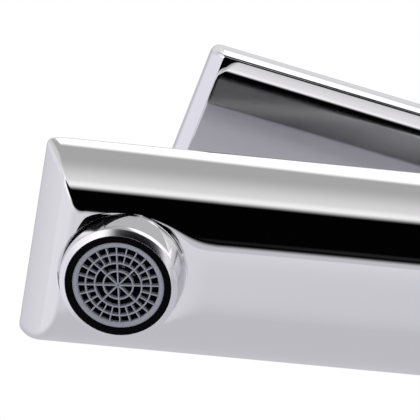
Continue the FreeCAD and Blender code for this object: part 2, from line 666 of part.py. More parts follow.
def index_cap():
    """Crowned plug in the rear of the lever."""
    radius = CAP_DIAMETER / 2.0 - THREAD_GAP
    cap = cylinder(radius, 0, CAP_LENGTH + CAP_CROWN)
    rim = [edge for edge in cap.Edges if edge.BoundBox.ZMin > CAP_LENGTH]
    cap = cap.makeChamfer(CAP_CROWN, rim)
    return turned(facing_rear(cap, LEVER_REAR - CAP_LENGTH))


def washer_top():
    """End of the aerator's thread in the spout, above the washer."""
    return THREAD_LENGTH - BOSS_HEIGHT + WASHER_HEIGHT


def insert_top():
    return -BOSS_HEIGHT - STRAINER_HEIGHT


def aerator_housing():
    """Sleeve with a thread above, two wrench flats and a bevelled rim round the outlet."""
    outer = AERATOR_DIAMETER / 2.0
    thread = AERATOR_THREAD / 2.0 - THREAD_GAP
    bore = INSERT_DIAMETER / 2.0 + SEAT_GAP
    mouth = RIM_DIAMETER / 2.0
    face = -AERATOR_HEIGHT
    bevel = face + RIM_HEIGHT
    flange_top = face + INSERT_FLANGE
    profile = [
        (bore, washer_top() - WASHER_HEIGHT),
        (thread, washer_top() - WASHER_HEIGHT),
        (thread, -BOSS_HEIGHT),
        (outer, -BOSS_HEIGHT),
        (outer, bevel),
        (mouth, face),
        (mouth - GRID_WIDTH / 2.0, flange_top),
        (bore, flange_top),
    ]
    solid = revolved(profile)
    for turn in (FLAT_TURN, FLAT_TURN + 180.0):
        flat = Part.makeBox(
            outer, 2.0 * outer, AERATOR_HEIGHT, point(FLAT_ACROSS / 2.0, -outer, bevel + FLAT_LAND)
        )
        flat = flat.common(cylinder(2.0 * outer, bevel + FLAT_LAND, -BOSS_HEIGHT - FLAT_LAND / 2.0))
        flat.rotate(point(0, 0, 0), Z_AXIS, turn)
        solid = solid.cut(flat)
    return leaning(solid)


def aerator_washer():
    outer = AERATOR_THREAD / 2.0 - THREAD_GAP
    return leaning(ring(outer, outer - WASHER_WIDTH, washer_top() - WASHER_HEIGHT, washer_top()))


def aerator_insert():
    """Holder that fills the mouth of the housing and carries the plates and the grid."""
    face = -AERATOR_HEIGHT
    flange_top = face + INSERT_FLANGE
    outer = INSERT_DIAMETER / 2.0
    mouth = RIM_DIAMETER / 2.0 - THREAD_GAP
    bore = outer - INSERT_WALL
    ledge = grid_top() + JET_HEIGHT
    profile = [
        (bore - INSERT_LEDGE, insert_top()),
        (outer, insert_top()),
        (outer, flange_top),
        (mouth - GRID_WIDTH / 2.0, flange_top),
        (mouth, face),
        (outer, face),
        (outer, flange_top - THREAD_GAP),
        (bore, flange_top - THREAD_GAP),
        (bore, ledge),
        (bore - INSERT_LEDGE, ledge),
    ]
    return leaning(revolved(profile))


def grid_top():
    return -AERATOR_HEIGHT + GRID_SET_IN + GRID_HEIGHT


def spokes(count, inner, outer, bottom, top):
    """Thin ribs that run outwards, evenly spread."""
    ribs = []
    for step in range(count):
        rib = Part.makeBox(outer - inner, GRID_WIDTH, top - bottom, point(inner, -GRID_WIDTH / 2.0, bottom))
        rib.rotate(point(0, 0, 0), Z_AXIS, FLAT_TURN + step * 360.0 / count)
        ribs.append(rib)
    return ribs


def aerator_grid():
    """Outlet grid: concentric rings tied by ribs, in a rim that seats in the insert."""
    face = -AERATOR_HEIGHT
    bottom = face + GRID_SET_IN
    rim_top = face + INSERT_FLANGE - THREAD_GAP
    half = GRID_WIDTH / 2.0
    rim = ring(INSERT_DIAMETER / 2.0 - THREAD_GAP, GRID_OUTER, bottom, rim_top)
    skirt = ring(INSERT_DIAMETER / 2.0 - INSERT_WALL - THREAD_GAP, GRID_OUTER - half, bottom, grid_top())
    rings = [ring(radius + half, radius - half, bottom, grid_top()) for radius in GRID_RADII]
    inner_ribs = spokes(GRID_INNER_SPOKES, 0.0, GRID_RADII[1], bottom, grid_top())
    outer_ribs = spokes(GRID_OUTER_SPOKES, GRID_RADII[1], GRID_OUTER, bottom, grid_top())
    return leaning(rim.fuse([skirt] + rings + inner_ribs + outer_ribs).removeSplitter())


def perforated(radius, hole, bottom, top):
    """Plate with a middle hole and rings of holes round it."""
    plate = cylinder(radius, bottom, top)
    holes = [cylinder(hole / 2.0, bottom - CUT, top + CUT)]
    for row in range(1, PLATE_RINGS + 1):
        distance = row * radius / (PLATE_RINGS + 1)
        count = 6 * row
        for step in range(count):
            angle = 2.0 * math.pi * step / count
            holes.append(cylinder(
                hole / 2.0, bottom - CUT, top + CUT, distance * math.cos(angle), distance * math.sin(angle)
            ))
    return leaning(plate.cut(holes))


def jet_plate():
    radius = INSERT_DIAMETER / 2.0 - INSERT_WALL - THREAD_GAP
    return perforated(radius, JET_HOLE, grid_top(), grid_top() + JET_HEIGHT)


def inlet_strainer():
    radius = INSERT_DIAMETER / 2.0
    return perforated(radius, STRAINER_HOLE, insert_top(), insert_top() + STRAINER_HEIGHT)


PIECES = (
    mixer_body,
    base_seal,
    fixing_stud,
    deck_gasket,
    clamp_plate,
    fixing_nut,
    cartridge_base,
    port_seals,
    fixed_disc,
    moving_disc,
    disc_driver,
    turning_collar,
    pivot_pin,
    cartridge_housing,
    retaining_nut,
    dome_cover,
    lever_stem,
    lever,
    grub_screw,
    index_cap,
    aerator_housing,
    aerator_washer,
    inlet_strainer,
    aerator_insert,
    jet_plate,
    aerator_grid,
)

os.makedirs("parts", exist_ok=True)
for piece in PIECES:
    piece().exportStep(f"parts/{piece.__name__}.step")
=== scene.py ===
import bmesh
import bpy
import math
from mathutils import Matrix, Quaternion, Vector


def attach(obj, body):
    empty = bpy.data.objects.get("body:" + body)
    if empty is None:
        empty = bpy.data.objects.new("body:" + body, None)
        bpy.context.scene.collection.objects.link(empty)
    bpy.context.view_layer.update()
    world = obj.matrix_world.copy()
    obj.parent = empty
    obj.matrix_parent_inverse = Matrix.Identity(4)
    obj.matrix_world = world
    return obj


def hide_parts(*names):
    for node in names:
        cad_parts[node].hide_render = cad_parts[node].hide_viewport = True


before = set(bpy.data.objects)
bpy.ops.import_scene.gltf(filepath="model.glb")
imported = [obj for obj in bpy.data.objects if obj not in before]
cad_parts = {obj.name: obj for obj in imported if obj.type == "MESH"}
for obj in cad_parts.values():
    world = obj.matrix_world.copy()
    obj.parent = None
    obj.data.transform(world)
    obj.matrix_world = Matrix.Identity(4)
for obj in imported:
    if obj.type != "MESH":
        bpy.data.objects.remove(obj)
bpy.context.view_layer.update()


# Mixer body: one brass casting, buffed and chromed. The spout has a flat top, a rounded belly and a
# leaning front with mitred corners; its underside steps up towards the tip, round the aerator's boss.
# Buffing has rounded every outer edge a little. Sizes are in millimetres.
MM = 0.001
SPOUT_HALF = 23.0
SPOUT_TOP = 112.0
SPOUT_FRONT = -136.9
SPOUT_EDGE = 1.1               # upright band below the top edge
BELLY_RADIUS = 16.2
BELLY_FLAT = SPOUT_HALF - BELLY_RADIUS
SPOUT_DEPTH = SPOUT_EDGE + BELLY_RADIUS
TIP_DEPTH = 15.6               # less deep round the aerator
TIP_ROUND = 5.0                # front into underside
FRONT_LEAN = math.radians(18.0)
FRONT_CROWN = 0.45             # swell of the front
CHIN_DOWN = TIP_DEPTH - TIP_ROUND
CHIN_ALONG = TIP_ROUND / math.cos(FRONT_LEAN) + CHIN_DOWN * math.tan(FRONT_LEAN)
RAMP_START = 19.0              # the underside steps down from here, behind the front edge
RAMP_END = 37.0
MITRE_ROUND = 0.3              # where front and belly meet
MITRE_FADE = (9.0, 30.0)       # it is buffed more in front of this stretch
NEAR_MITRE = 1.4               # so much more on the +X side,
NEAR_MITRE_LESS = 1.0          # and less again below these depths
NEAR_MITRE_DEPTHS = (6.0, 11.0)
FAR_MITRE = 1.6                # so much more on the other side
EDGE_ROUND = 0.9               # round the flat top, twice that at the tip
EDGE_FADE = (0.5, 5.0)
COLUMN_HALF = 23.5
COLUMN_FRONT = -34.0
COLUMN_BACK = 23.5
COLUMN_CORNER = 12.0
FOOT_ROUND = 1.0
SHOULDER_ROUND = 0.7
NECK_ROUND = 5.0               # belly into column
NECK_END = COLUMN_FRONT - SPOUT_FRONT
SPOUT_ROOT = 11.0              # the spout reaches so far into the column
TURRET_RADIUS = 23.3
TURRET_TOP = 121.0
TURRET_ROUND = 1.0
TURRET_ROOT = 1.0
AERATOR_LEAN = math.radians(-13.7)
AERATOR_SEAT = Vector((0.0, -0.118, 0.0976))    # in metres
BOSS_RADIUS = 13.6
BOSS_FACE = -0.8               # heights along the aerator's own axis, from its seat
BOSS_ROOT = 4.8
SOCKET_RADIUS = 13.68
SOCKET_MOUTH = -20.0
SOCKET_FACE = -0.76
SOCKET_THREAD = 12.02
SOCKET_END = 7.5
CARTRIDGE_BORE = 17.8
CARTRIDGE_FLOOR = 79.0
NUT_BORE = 19.0
NUT_SHOULDER = 105.1
INLET_RADIUS = 4.5
INLET_DEPTH = 12.0
INLET_SIDE = 7.0
INLET_FRONT = -3.2
STUD_HOLE_RADIUS = 4.0
STUD_HOLE_DEPTH = 15.0
STUD_BACK = 10.0
SEAL_OUTSIDE = 3.0             # groove of the base seal, inside the column's edge
SEAL_INSIDE = 6.0
SEAL_DEPTH = 2.0
OVERCUT = 1.0                  # cutters stand so far out of what they cut


def spread(start, end, steps):
    """Evenly spaced values from start to end, both included."""
    return [start + (end - start) * step / steps for step in range(steps + 1)]


def soft_step(value, start, end):
    """0 before start, 1 after end, with an even bend between them."""
    share = min(max((value - start) / (end - start), 0.0), 1.0)
    return share * share * (3.0 - 2.0 * share)


def smooth_max(first, second, width):
    """The larger of two values, rounded off where they come within a width of each other."""
    overlap = max(width - abs(first - second), 0.0)
    return max(first, second) + overlap * overlap / (4.0 * width)


def finish_mesh(name, mesh):
    """Object from a bmesh: doubles merged, normals outward."""
    bmesh.ops.remove_doubles(mesh, verts=mesh.verts, dist=1e-6)
    bmesh.ops.dissolve_degenerate(mesh, edges=mesh.edges, dist=1e-7)
    bmesh.ops.recalc_face_normals(mesh, faces=mesh.faces)
    data = bpy.data.meshes.new(name)
    mesh.to_mesh(data)
    mesh.free()
    piece = bpy.data.objects.new(name, data)
    bpy.context.scene.collection.objects.link(piece)
    return piece


def skin(mesh, loops):
    """Rows of faces between loops of points in millimetres; gives the loops of vertices back."""
    rows = [[mesh.verts.new(Vector(corner) * MM) for corner in loop] for loop in loops]
    for low, high in zip(rows, rows[1:]):
        for a, b, c, d in zip(low, low[1:] + low[:1], high[1:] + high[:1], high):
            mesh.faces.new((a, b, c, d))
    return rows


def loft(name, loops):
    """Closed skin through loops of points, capped at both ends."""
    mesh = bmesh.new()
    rows = skin(mesh, loops)
    mesh.faces.new(rows[0])
    mesh.faces.new(rows[-1])
    return finish_mesh(name, mesh)


def revolve(name, profile, steps=128):
    """Closed ring turned about Z from (radius, height) corners."""
    mesh = bmesh.new()
    angles = spread(0.0, 2.0 * math.pi, steps)[:-1]
    skin(mesh, [[(r * math.cos(a), r * math.sin(a), z) for a in angles] for r, z in profile + profile[:1]])
    return finish_mesh(name, mesh)


def plug(name, stages, steps=128):
    """Solid turned about Z from stages of (radius, lower height, upper height)."""
    profile = [(0.0, stages[0][1])]
    for radius, low, high in stages:
        profile += [(radius, low), (radius, high)]
    profile.append((0.0, stages[-1][2]))
    return revolve(name, profile, steps)


def bake(piece):
    """Turn a piece's modifiers into plain mesh."""
    bpy.context.view_layer.update()
    old = piece.data
    evaluated = piece.evaluated_get(bpy.context.evaluated_depsgraph_get())
    piece.data = bpy.data.meshes.new_from_object(evaluated)
    piece.modifiers.clear()
    bpy.data.meshes.remove(old)


def combine(piece, operation, other):
    """Boolean of two closed meshes; the other one is used up."""
    modifier = piece.modifiers.new("combine", "BOOLEAN")
    modifier.operation = operation
    modifier.solver = "EXACT"
    modifier.object = other
    bake(piece)
    bpy.data.meshes.remove(other.data)


def round_over(piece, sharp):
    """Smooth shading, broken where faces meet at more than the given angle."""
    piece.data.shade_smooth()
    piece.data.set_sharp_from_angle(angle=math.radians(sharp))


def front_gap(along, down):
    """How far a point lies in front of the spout's tip or below its underside."""
    if along > CHIN_ALONG:
        return down - TIP_DEPTH - (SPOUT_DEPTH - TIP_DEPTH) * soft_step(along, RAMP_START, RAMP_END)
    back = along - CHIN_ALONG
    below = down - CHIN_DOWN
    if back * math.sin(FRONT_LEAN) + below * math.cos(FRONT_LEAN) < 0.0:
        share = min(max(down / CHIN_DOWN, 0.0), 1.0)
        crown = FRONT_CROWN * share * (2.0 - share)
        return down * math.sin(FRONT_LEAN) - along * math.cos(FRONT_LEAN) - crown
    crown = FRONT_CROWN * soft_step(-back, 0.0, TIP_ROUND * math.cos(FRONT_LEAN))
    return math.hypot(back, below) - TIP_ROUND - crown


def belly_gap(across, along, down):
    """How far a point lies outside the belly, which is slightly crowned and flares at the neck."""
    outward = across - BELLY_FLAT
    if outward < BELLY_FLAT:
        outward = across * across / (4.0 * BELLY_FLAT)
    below = max(down - SPOUT_EDGE, 0.0)
    reach = math.hypot(outward, below)
    neck = max(0.0, NECK_ROUND - max(NECK_END - along, 0.0))
    flare = NECK_ROUND - math.sqrt(NECK_ROUND ** 2 - neck ** 2)
    return reach - BELLY_RADIUS - flare * below / max(reach, SPOUT_EDGE)


def spout_gap(place):
    """How far a point lies outside the buffed spout."""
    along = place.y - SPOUT_FRONT
    down = SPOUT_TOP - place.z
    extra = FAR_MITRE
    if place.x > 0.0:
        extra = NEAR_MITRE - NEAR_MITRE_LESS * soft_step(down, *NEAR_MITRE_DEPTHS)
    mitre = MITRE_ROUND + (1.0 - soft_step(along, *MITRE_FADE)) * extra
    edge = EDGE_ROUND + EDGE_ROUND * (1.0 - soft_step(along, *EDGE_FADE))
    wall = smooth_max(front_gap(along, down), belly_gap(abs(place.x), along, down), mitre)
    return smooth_max(wall, -down, edge)


def buff(place):
    """Nearest point on the buffed spout."""
    probe = 0.01
    near_enough = 1e-4
    for trial in range(5):
        gap = spout_gap(place)
        if abs(gap) < near_enough:
            break
        steps = (Vector((probe, 0, 0)), Vector((0, probe, 0)), Vector((0, 0, probe)))
        slope = Vector([(spout_gap(place + step) - gap) / probe for step in steps])
        place = place - slope * (gap / slope.length_squared)
    return place


def belly_depth(along):
    """Depth of the spout below its top, along it from the front edge."""
    if along < CHIN_ALONG - TIP_ROUND * math.cos(FRONT_LEAN):
        return along / math.tan(FRONT_LEAN)
    if along < CHIN_ALONG:
        return CHIN_DOWN + math.sqrt(TIP_ROUND ** 2 - (CHIN_ALONG - along) ** 2)
    return TIP_DEPTH + (SPOUT_DEPTH - TIP_DEPTH) * soft_step(along, RAMP_START, RAMP_END)


def spout_loop(along):
    """Outline of the spout at one place along it, finer towards its edges."""
    depth = belly_depth(along)
    band = min(SPOUT_EDGE, depth)
    sweep = math.asin(max(depth - SPOUT_EDGE, 0.0) / BELLY_RADIUS)
    side = [(SPOUT_HALF, band * share) for share in spread(0.0, 1.0, 6)]
    for share in spread(0.0, 1.0, 64)[1:]:
        angle = sweep * (1.0 - (1.0 - share) ** 1.5)
        across = BELLY_FLAT + BELLY_RADIUS * math.cos(angle)
        side.append((across, band + BELLY_RADIUS * math.sin(angle)))
    edge, low = side[-1]
    under = [(edge - edge * share ** 2, low) for share in spread(0.0, 1.0, 18)[1:]]
    top = [(SPOUT_HALF * (1.0 - share ** 2.5), 0.0) for share in spread(0.0, 1.0, 18)[1:-1]]
    half = top[::-1] + side + under
    far = [(-across, down) for across, down in reversed(half[:-1])]
    loop = half + far + [(0.0, 0.0)]
    return [(across, SPOUT_FRONT + along, SPOUT_TOP - down) for across, down in loop]


def plan_loop(half, front, back, corner, height, nose=0.0, rear_corner=None):
    """Level outline of a rectangle with rounded corners, raised at its front by the nose."""
    rear = rear_corner or corner
    quarters = [(1, back, 0, rear), (-1, back, 90, rear)]
    quarters += [(-1, front, 180, corner), (1, front, 270, corner)]
    loop = []
    for side, end, start, radius in quarters:
        inward = -radius if end == back else radius
        for angle in spread(start, start + 90, 12):
            turn = math.radians(angle)
            x = side * (half - radius) + radius * math.cos(turn)
            y = end + inward + radius * math.sin(turn)
            loop.append((x, y, height + nose * max(0.0, -math.sin(turn))))
    return loop


def column_loop(inset, height):
    """Level outline of the column, drawn in all round by the inset."""
    half = COLUMN_HALF - inset
    return plan_loop(half, COLUMN_FRONT + inset, COLUMN_BACK - inset, COLUMN_CORNER - inset, height)


def quarter_round(radius):
    """Rounded edge as (inset, distance from the end) steps, from the end inwards."""
    turns = spread(0.0, math.pi / 2.0, 6)
    return [(radius * (1.0 - math.sin(turn)), radius * (1.0 - math.cos(turn))) for turn in turns]


def lean(piece):
    """Move a piece from the aerator's own axis, outlet down, to its seat."""
    piece.data.transform(Matrix.Translation(AERATOR_SEAT) @ Matrix.Rotation(AERATOR_LEAN, 4, "X"))
    return piece


stations = spread(0.0, 4.0, 40)[:-1] + spread(4.0, 10.0, 30)[:-1] + spread(10.0, RAMP_START, 10)[:-1]
stations += spread(RAMP_START, RAMP_END, 36) + [50.0, 65.0]
stations += spread(NECK_END - NECK_ROUND, NECK_END, 16) + [NECK_END + SPOUT_ROOT]
spout = bmesh.new()
spout_rows = skin(spout, [spout_loop(along) for along in stations])
spout.faces.new(spout_rows[-1])
bmesh.ops.remove_doubles(spout, verts=spout.verts, dist=1e-6)
for corner in spout.verts:
    corner.co = buff(corner.co / MM) * MM
body = finish_mesh("body_casting", spout)

column = [column_loop(inset, rise) for inset, rise in quarter_round(FOOT_ROUND)]
for inset, drop in reversed(quarter_round(SHOULDER_ROUND)):
    column.append(column_loop(inset, SPOUT_TOP - drop))
combine(body, "UNION", loft("column", column))
turret = [(0.0, SPOUT_TOP - TURRET_ROOT), (TURRET_RADIUS, SPOUT_TOP - TURRET_ROOT)]
for inset, drop in reversed(quarter_round(TURRET_ROUND)):
    turret.append((TURRET_RADIUS - inset, TURRET_TOP - drop))
turret.append((0.0, TURRET_TOP))
combine(body, "UNION", revolve("turret", turret))
combine(body, "UNION", lean(plug("boss", [(BOSS_RADIUS, BOSS_FACE, BOSS_ROOT)])))
socket = [(SOCKET_RADIUS, SOCKET_MOUTH, SOCKET_FACE), (SOCKET_THREAD, SOCKET_FACE, SOCKET_END)]
combine(body, "DIFFERENCE", lean(plug("socket", socket)))
bore = [(CARTRIDGE_BORE, CARTRIDGE_FLOOR, NUT_SHOULDER), (NUT_BORE, NUT_SHOULDER, TURRET_TOP + OVERCUT)]
combine(body, "DIFFERENCE", plug("bore", bore))
holes = [(INLET_RADIUS, INLET_DEPTH, side * INLET_SIDE, INLET_FRONT) for side in (-1.0, 1.0)]
holes.append((STUD_HOLE_RADIUS, STUD_HOLE_DEPTH, 0.0, STUD_BACK))
for radius, depth, x, y in holes:
    hole = plug("hole", [(radius, -OVERCUT, depth)], 48)
    hole.data.transform(Matrix.Translation(Vector((x, y, 0.0)) * MM))
    combine(body, "DIFFERENCE", hole)
groove = bmesh.new()
outer_wall = [column_loop(SEAL_OUTSIDE, height) for height in (-OVERCUT, SEAL_DEPTH)]
inner_wall = [column_loop(SEAL_INSIDE, height) for height in (SEAL_DEPTH, -OVERCUT)]
skin(groove, outer_wall + inner_wall + outer_wall[:1])
combine(body, "DIFFERENCE", finish_mesh("groove", groove))
round_over(body, 20.0)


class Shade:
    """A socket of a shader tree that takes part in sums; make() adds any other node."""

    def __init__(self, tree, output):
        self.tree = tree
        self.output = output

    def put(self, value, entry):
        if isinstance(value, Shade):
            self.tree.links.new(value.output, entry)
        else:
            entry.default_value = value

    def make(self, kind, settings, values, output=0):
        node = self.tree.nodes.new(kind)
        for name, value in settings.items():
            setattr(node, name, value)
        for name, value in values.items():
            self.put(value, node.inputs[name])
        return Shade(self.tree, node.outputs[output])

    def math(self, operation, first, second):
        return self.make("ShaderNodeMath", {"operation": operation}, {0: first, 1: second})

    def __add__(self, other):
        return self.math("ADD", self, other)

    __radd__ = __add__

    def __sub__(self, other):
        return self.math("SUBTRACT", self, other)

    def __rsub__(self, other):
        return self.math("SUBTRACT", other, self)

    def __mul__(self, other):
        return self.math("MULTIPLY", self, other)

    __rmul__ = __mul__

    def ramp(self, low, high, start=0.0, end=1.0):
        """Soft step of this value between two limits."""
        values = {"Value": self, "From Min": low, "From Max": high, "To Min": start, "To Max": end}
        return self.make("ShaderNodeMapRange", {"interpolation_type": "SMOOTHSTEP"}, values)

    def mix(self, first, second):
        """One colour where this value is 0, another where it is 1."""
        colours = {0: self, 6: first + (1.0,), 7: second + (1.0,)}
        return self.make("ShaderNodeMix", {"data_type": "RGBA"}, colours, 2)


def material(name, metallic, dark, light, scale, rough, rough_spread, bump=0.0):
    """Material with a colour and a roughness that wander a little over the piece."""
    made = bpy.data.materials.new(name)
    made.use_nodes = True
    tree = made.node_tree
    shader = tree.nodes["Principled BSDF"]
    shader.inputs["Metallic"].default_value = metallic
    start = Shade(tree, None)
    place = start.make("ShaderNodeTexCoord", {}, {}, "Object")
    cloud = start.make("ShaderNodeTexNoise", {}, {"Vector": place, "Scale": scale, "Detail": 3.0})
    fine = start.make("ShaderNodeTexNoise", {}, {"Vector": place, "Scale": scale * 9.0, "Detail": 2.0})
    start.put(cloud.mix(dark, light), shader.inputs["Base Color"])
    start.put(fine * rough_spread + rough, shader.inputs["Roughness"])
    if bump:
        relief = start.make("ShaderNodeBump", {}, {"Height": fine, "Strength": bump, "Distance": 0.0002})
        start.put(relief, shader.inputs["Normal"])
    return made


chrome = material("chrome_plate", 1.0, (0.735, 0.735, 0.74), (0.765, 0.765, 0.77), 18.0, 0.015, 0.02)
body.data.materials.append(chrome)
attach(body, "root")
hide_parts("mixer_body")


# Fixing stud: an M8 rod of zinc-plated steel with a rolled thread, screwed into the column's foot. It
# pulls the tap down on the deck.
STUD_END = -60.0
STUD_LENGTH = 75.0
STUD_CORE = 3.45
STUD_TIP = 2.9
STUD_CHAMFER = 0.7
THREAD_PITCH = 1.25
THREAD_RADIUS = 3.5            # to the middle of the ridge
THREAD_RIDGE = 0.42


def place_node(tree, kind, values, settings=None):
    """Node of a geometry tree with its settings, values and links."""
    node = tree.nodes.new(kind)
    for name, value in (settings or {}).items():
        setattr(node, name, value)
    for name, value in values.items():
        if isinstance(value, bpy.types.NodeSocket):
            tree.links.new(value, node.inputs[name])
        else:
            node.inputs[name].default_value = value
    return node


def calculate(tree, operation, first, second):
    """Arithmetic on two values in a geometry tree."""
    return place_node(tree, "ShaderNodeMath", {0: first, 1: second}, {"operation": operation}).outputs[0]


def new_tree(name, inputs):
    """Geometry tree that takes a mesh and named values; gives the tree and its group input."""
    tree = bpy.data.node_groups.new(name, "GeometryNodeTree")
    tree.interface.new_socket("Geometry", in_out="OUTPUT", socket_type="NodeSocketGeometry")
    tree.interface.new_socket("Geometry", in_out="INPUT", socket_type="NodeSocketGeometry")
    for label, kind in inputs.items():
        tree.interface.new_socket(label, in_out="INPUT", socket_type=kind)
    return tree, tree.nodes.new("NodeGroupInput").outputs


def end_tree(tree, added, given, finish):
    """Join new geometry to the given mesh as plain mesh in one material."""
    joined = place_node(tree, "GeometryNodeJoinGeometry", {"Geometry": given})
    tree.links.new(added, joined.inputs["Geometry"])
    plain = place_node(tree, "GeometryNodeRealizeInstances", {"Geometry": joined.outputs[0]})
    dressed = place_node(tree, "GeometryNodeSetMaterial", {"Geometry": plain.outputs[0], "Material": finish})
    place_node(tree, "NodeGroupOutput", {"Geometry": dressed.outputs[0]})


def grow(piece, tree, values):
    """Run a geometry tree on a piece and keep the result as plain mesh."""
    modifier = piece.modifiers.new(tree.name, "NODES")
    modifier.node_group = tree
    for item in tree.interface.items_tree:
        if item.in_out == "INPUT" and item.name in values:
            modifier[item.identifier] = values[item.name]
    bake(piece)
    mesh = bmesh.new()
    mesh.from_mesh(piece.data)
    bmesh.ops.recalc_face_normals(mesh, faces=mesh.faces)
    mesh.to_mesh(piece.data)
    mesh.free()


def chamfered(radius, end_radius, chamfer, low, high):
    """Profile of a round bar with chamfered ends, as (radius, height) corners."""
    foot = [(0.0, low), (end_radius, low), (radius, low + chamfer)]
    return foot + [(radius, high - chamfer), (end_radius, high), (0.0, high)]


steel = material("zinc_plated_steel", 1.0, (0.5, 0.51, 0.53), (0.62, 0.62, 0.64), 60.0, 0.28, 0.15, 0.1)
lengths = ("Turns", "Pitch", "Radius", "Ridge")
thread_tree, given = new_tree("rolled_thread", {label: "NodeSocketFloat" for label in lengths})
spiral = place_node(thread_tree, "GeometryNodeCurveSpiral", {
    "Resolution": 24,
    "Rotations": given["Turns"],
    "Start Radius": given["Radius"],
    "End Radius": given["Radius"],
    "Height": calculate(thread_tree, "MULTIPLY", given["Turns"], given["Pitch"]),
})
ridge = place_node(thread_tree, "GeometryNodeCurvePrimitiveCircle", {
    "Resolution": 6, "Radius": given["Ridge"],
})
thread = place_node(thread_tree, "GeometryNodeCurveToMesh", {
    "Curve": spiral.outputs[0], "Profile Curve": ridge.outputs["Curve"], "Fill Caps": True,
})
end_tree(thread_tree, thread.outputs[0], given["Geometry"], steel)
stud_profile = chamfered(STUD_CORE, STUD_TIP, STUD_CHAMFER, -THREAD_PITCH, STUD_LENGTH - THREAD_PITCH)
stud = revolve("threaded_stud", stud_profile, 64)
grow(stud, thread_tree, {
    "Turns": STUD_LENGTH / THREAD_PITCH - 2.0,
    "Pitch": THREAD_PITCH * MM,
    "Radius": THREAD_RADIUS * MM,
    "Ridge": THREAD_RIDGE * MM,
})
stud.data.transform(Matrix.Translation(Vector((0.0, STUD_BACK, STUD_END + THREAD_PITCH)) * MM))
round_over(stud, 40.0)
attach(stud, "root")
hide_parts("fixing_stud")


# Base seal, deck gasket and clamp plate: a black rubber ring in the groove of the foot, and under the
# deck a rubber horseshoe with a stamped steel one below it. They keep their CAD shape.
def dress(finish, *names):
    """Give pieces that keep their CAD shape one material."""
    for name in names:
        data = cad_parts[name].data
        data.materials.clear()
        data.materials.append(finish)


rubber = material("black_rubber", 0.0, (0.018, 0.018, 0.019), (0.03, 0.03, 0.031), 80.0, 0.6, 0.2, 0.3)
dress(rubber, "base_seal", "deck_gasket")
dress(steel, "clamp_plate")


# Fixing nut: turned from hexagon brass bar, 13 mm across its flats, chamfered at both ends and tapped
# through. It draws the horseshoe up against the deck.
NUT_TOP = -25.0
NUT_FOOT = -35.0
NUT_CORNER = 7.5
NUT_TURNED = 7.8
NUT_FACE = 6.4
NUT_CHAMFER = 0.8
TAP_RADIUS = 3.97
TAP_MOUTH = 4.6
TAP_CHAMFER = 0.6
brass = material("turned_brass", 1.0, (0.68, 0.5, 0.22), (0.78, 0.6, 0.3), 60.0, 0.25, 0.15, 0.1)
sixths = spread(0.0, 2.0 * math.pi, 6)[:-1]
hexagon = [(NUT_CORNER * math.cos(turn), NUT_CORNER * math.sin(turn)) for turn in sixths]
nut = loft("hexagon_nut", [[(x, y, height) for x, y in hexagon] for height in (NUT_FOOT, NUT_TOP)])
turned = revolve("turned", chamfered(NUT_TURNED, NUT_FACE, NUT_CHAMFER, NUT_FOOT, NUT_TOP))
combine(nut, "INTERSECT", turned)
tap_foot = [(0.0, NUT_FOOT - OVERCUT), (TAP_MOUTH, NUT_FOOT - OVERCUT), (TAP_MOUTH, NUT_FOOT)]
tap_wall = [(TAP_RADIUS, NUT_FOOT + TAP_CHAMFER), (TAP_RADIUS, NUT_TOP - TAP_CHAMFER)]
tap_head = [(TAP_MOUTH, NUT_TOP), (TAP_MOUTH, NUT_TOP + OVERCUT), (0.0, NUT_TOP + OVERCUT)]
combine(nut, "DIFFERENCE", revolve("tapped", tap_foot + tap_wall + tap_head))
nut.data.transform(Matrix.Translation((0.0, STUD_BACK * MM, 0.0)))
round_over(nut, 25.0)
nut.data.materials.append(brass)
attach(nut, "root")
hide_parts("fixing_nut")


# Cartridge: moulded plastic base, carrier, rotor and housing round two lapped ceramic discs, with rubber
# rings at its ports and a steel pin. A brass ring nut holds it down in the turret, and its brass stem
# stands up into the lever. All of it keeps its CAD shape.
white_plastic = material("white_moulding", 0.0, (0.72, 0.72, 0.7), (0.8, 0.8, 0.78), 50.0, 0.35, 0.15, 0.1)
ceramic = material("alumina", 0.0, (0.8, 0.79, 0.74), (0.86, 0.85, 0.81), 90.0, 0.15, 0.1)
dress(white_plastic, "cartridge_base", "disc_driver", "turning_collar", "cartridge_housing")
dress(ceramic, "fixed_disc", "moving_disc")
dress(rubber, "port_seals")
dress(steel, "pivot_pin")
dress(brass, "retaining_nut", "lever_stem")


# Dome cover: thin spun brass, chromed, with a short threaded skirt. It is screwed into the turret over
# the cartridge's nut, and its hole leaves room for the stem.
DOME_MIDDLE = 109.0            # the lever's pivot
DOME_RADIUS = 24.5
DOME_FOOT = 12.0               # heights above the pivot
DOME_INSIDE = 23.1
DOME_INSIDE_FOOT = 13.4
DOME_HOLE = 15.0
SKIRT_INSIDE = 17.05
SKIRT_OUTSIDE = 18.95
SKIRT_END = 115.0


def dome_arc(radius, start, end):
    """Part of a circle about the lever's pivot, as (radius, height) corners."""
    return [(radius * math.cos(t), DOME_MIDDLE + radius * math.sin(t)) for t in spread(start, end, 24)]


dome_profile = dome_arc(DOME_RADIUS, math.asin(DOME_FOOT / DOME_RADIUS), math.acos(DOME_HOLE / DOME_RADIUS))
inside_start = math.acos(DOME_HOLE / DOME_INSIDE)
dome_profile += dome_arc(DOME_INSIDE, inside_start, math.asin(DOME_INSIDE_FOOT / DOME_INSIDE))
dome_profile += [(SKIRT_INSIDE, DOME_MIDDLE + DOME_INSIDE_FOOT), (SKIRT_INSIDE, SKIRT_END)]
dome_profile += [(SKIRT_OUTSIDE, SKIRT_END), (SKIRT_OUTSIDE, DOME_MIDDLE + DOME_FOOT)]
dome = revolve("dome_shell", dome_profile)
round_over(dome, 30.0)
dome.data.materials.append(chrome)
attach(dome, "root")
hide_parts("dome_cover")


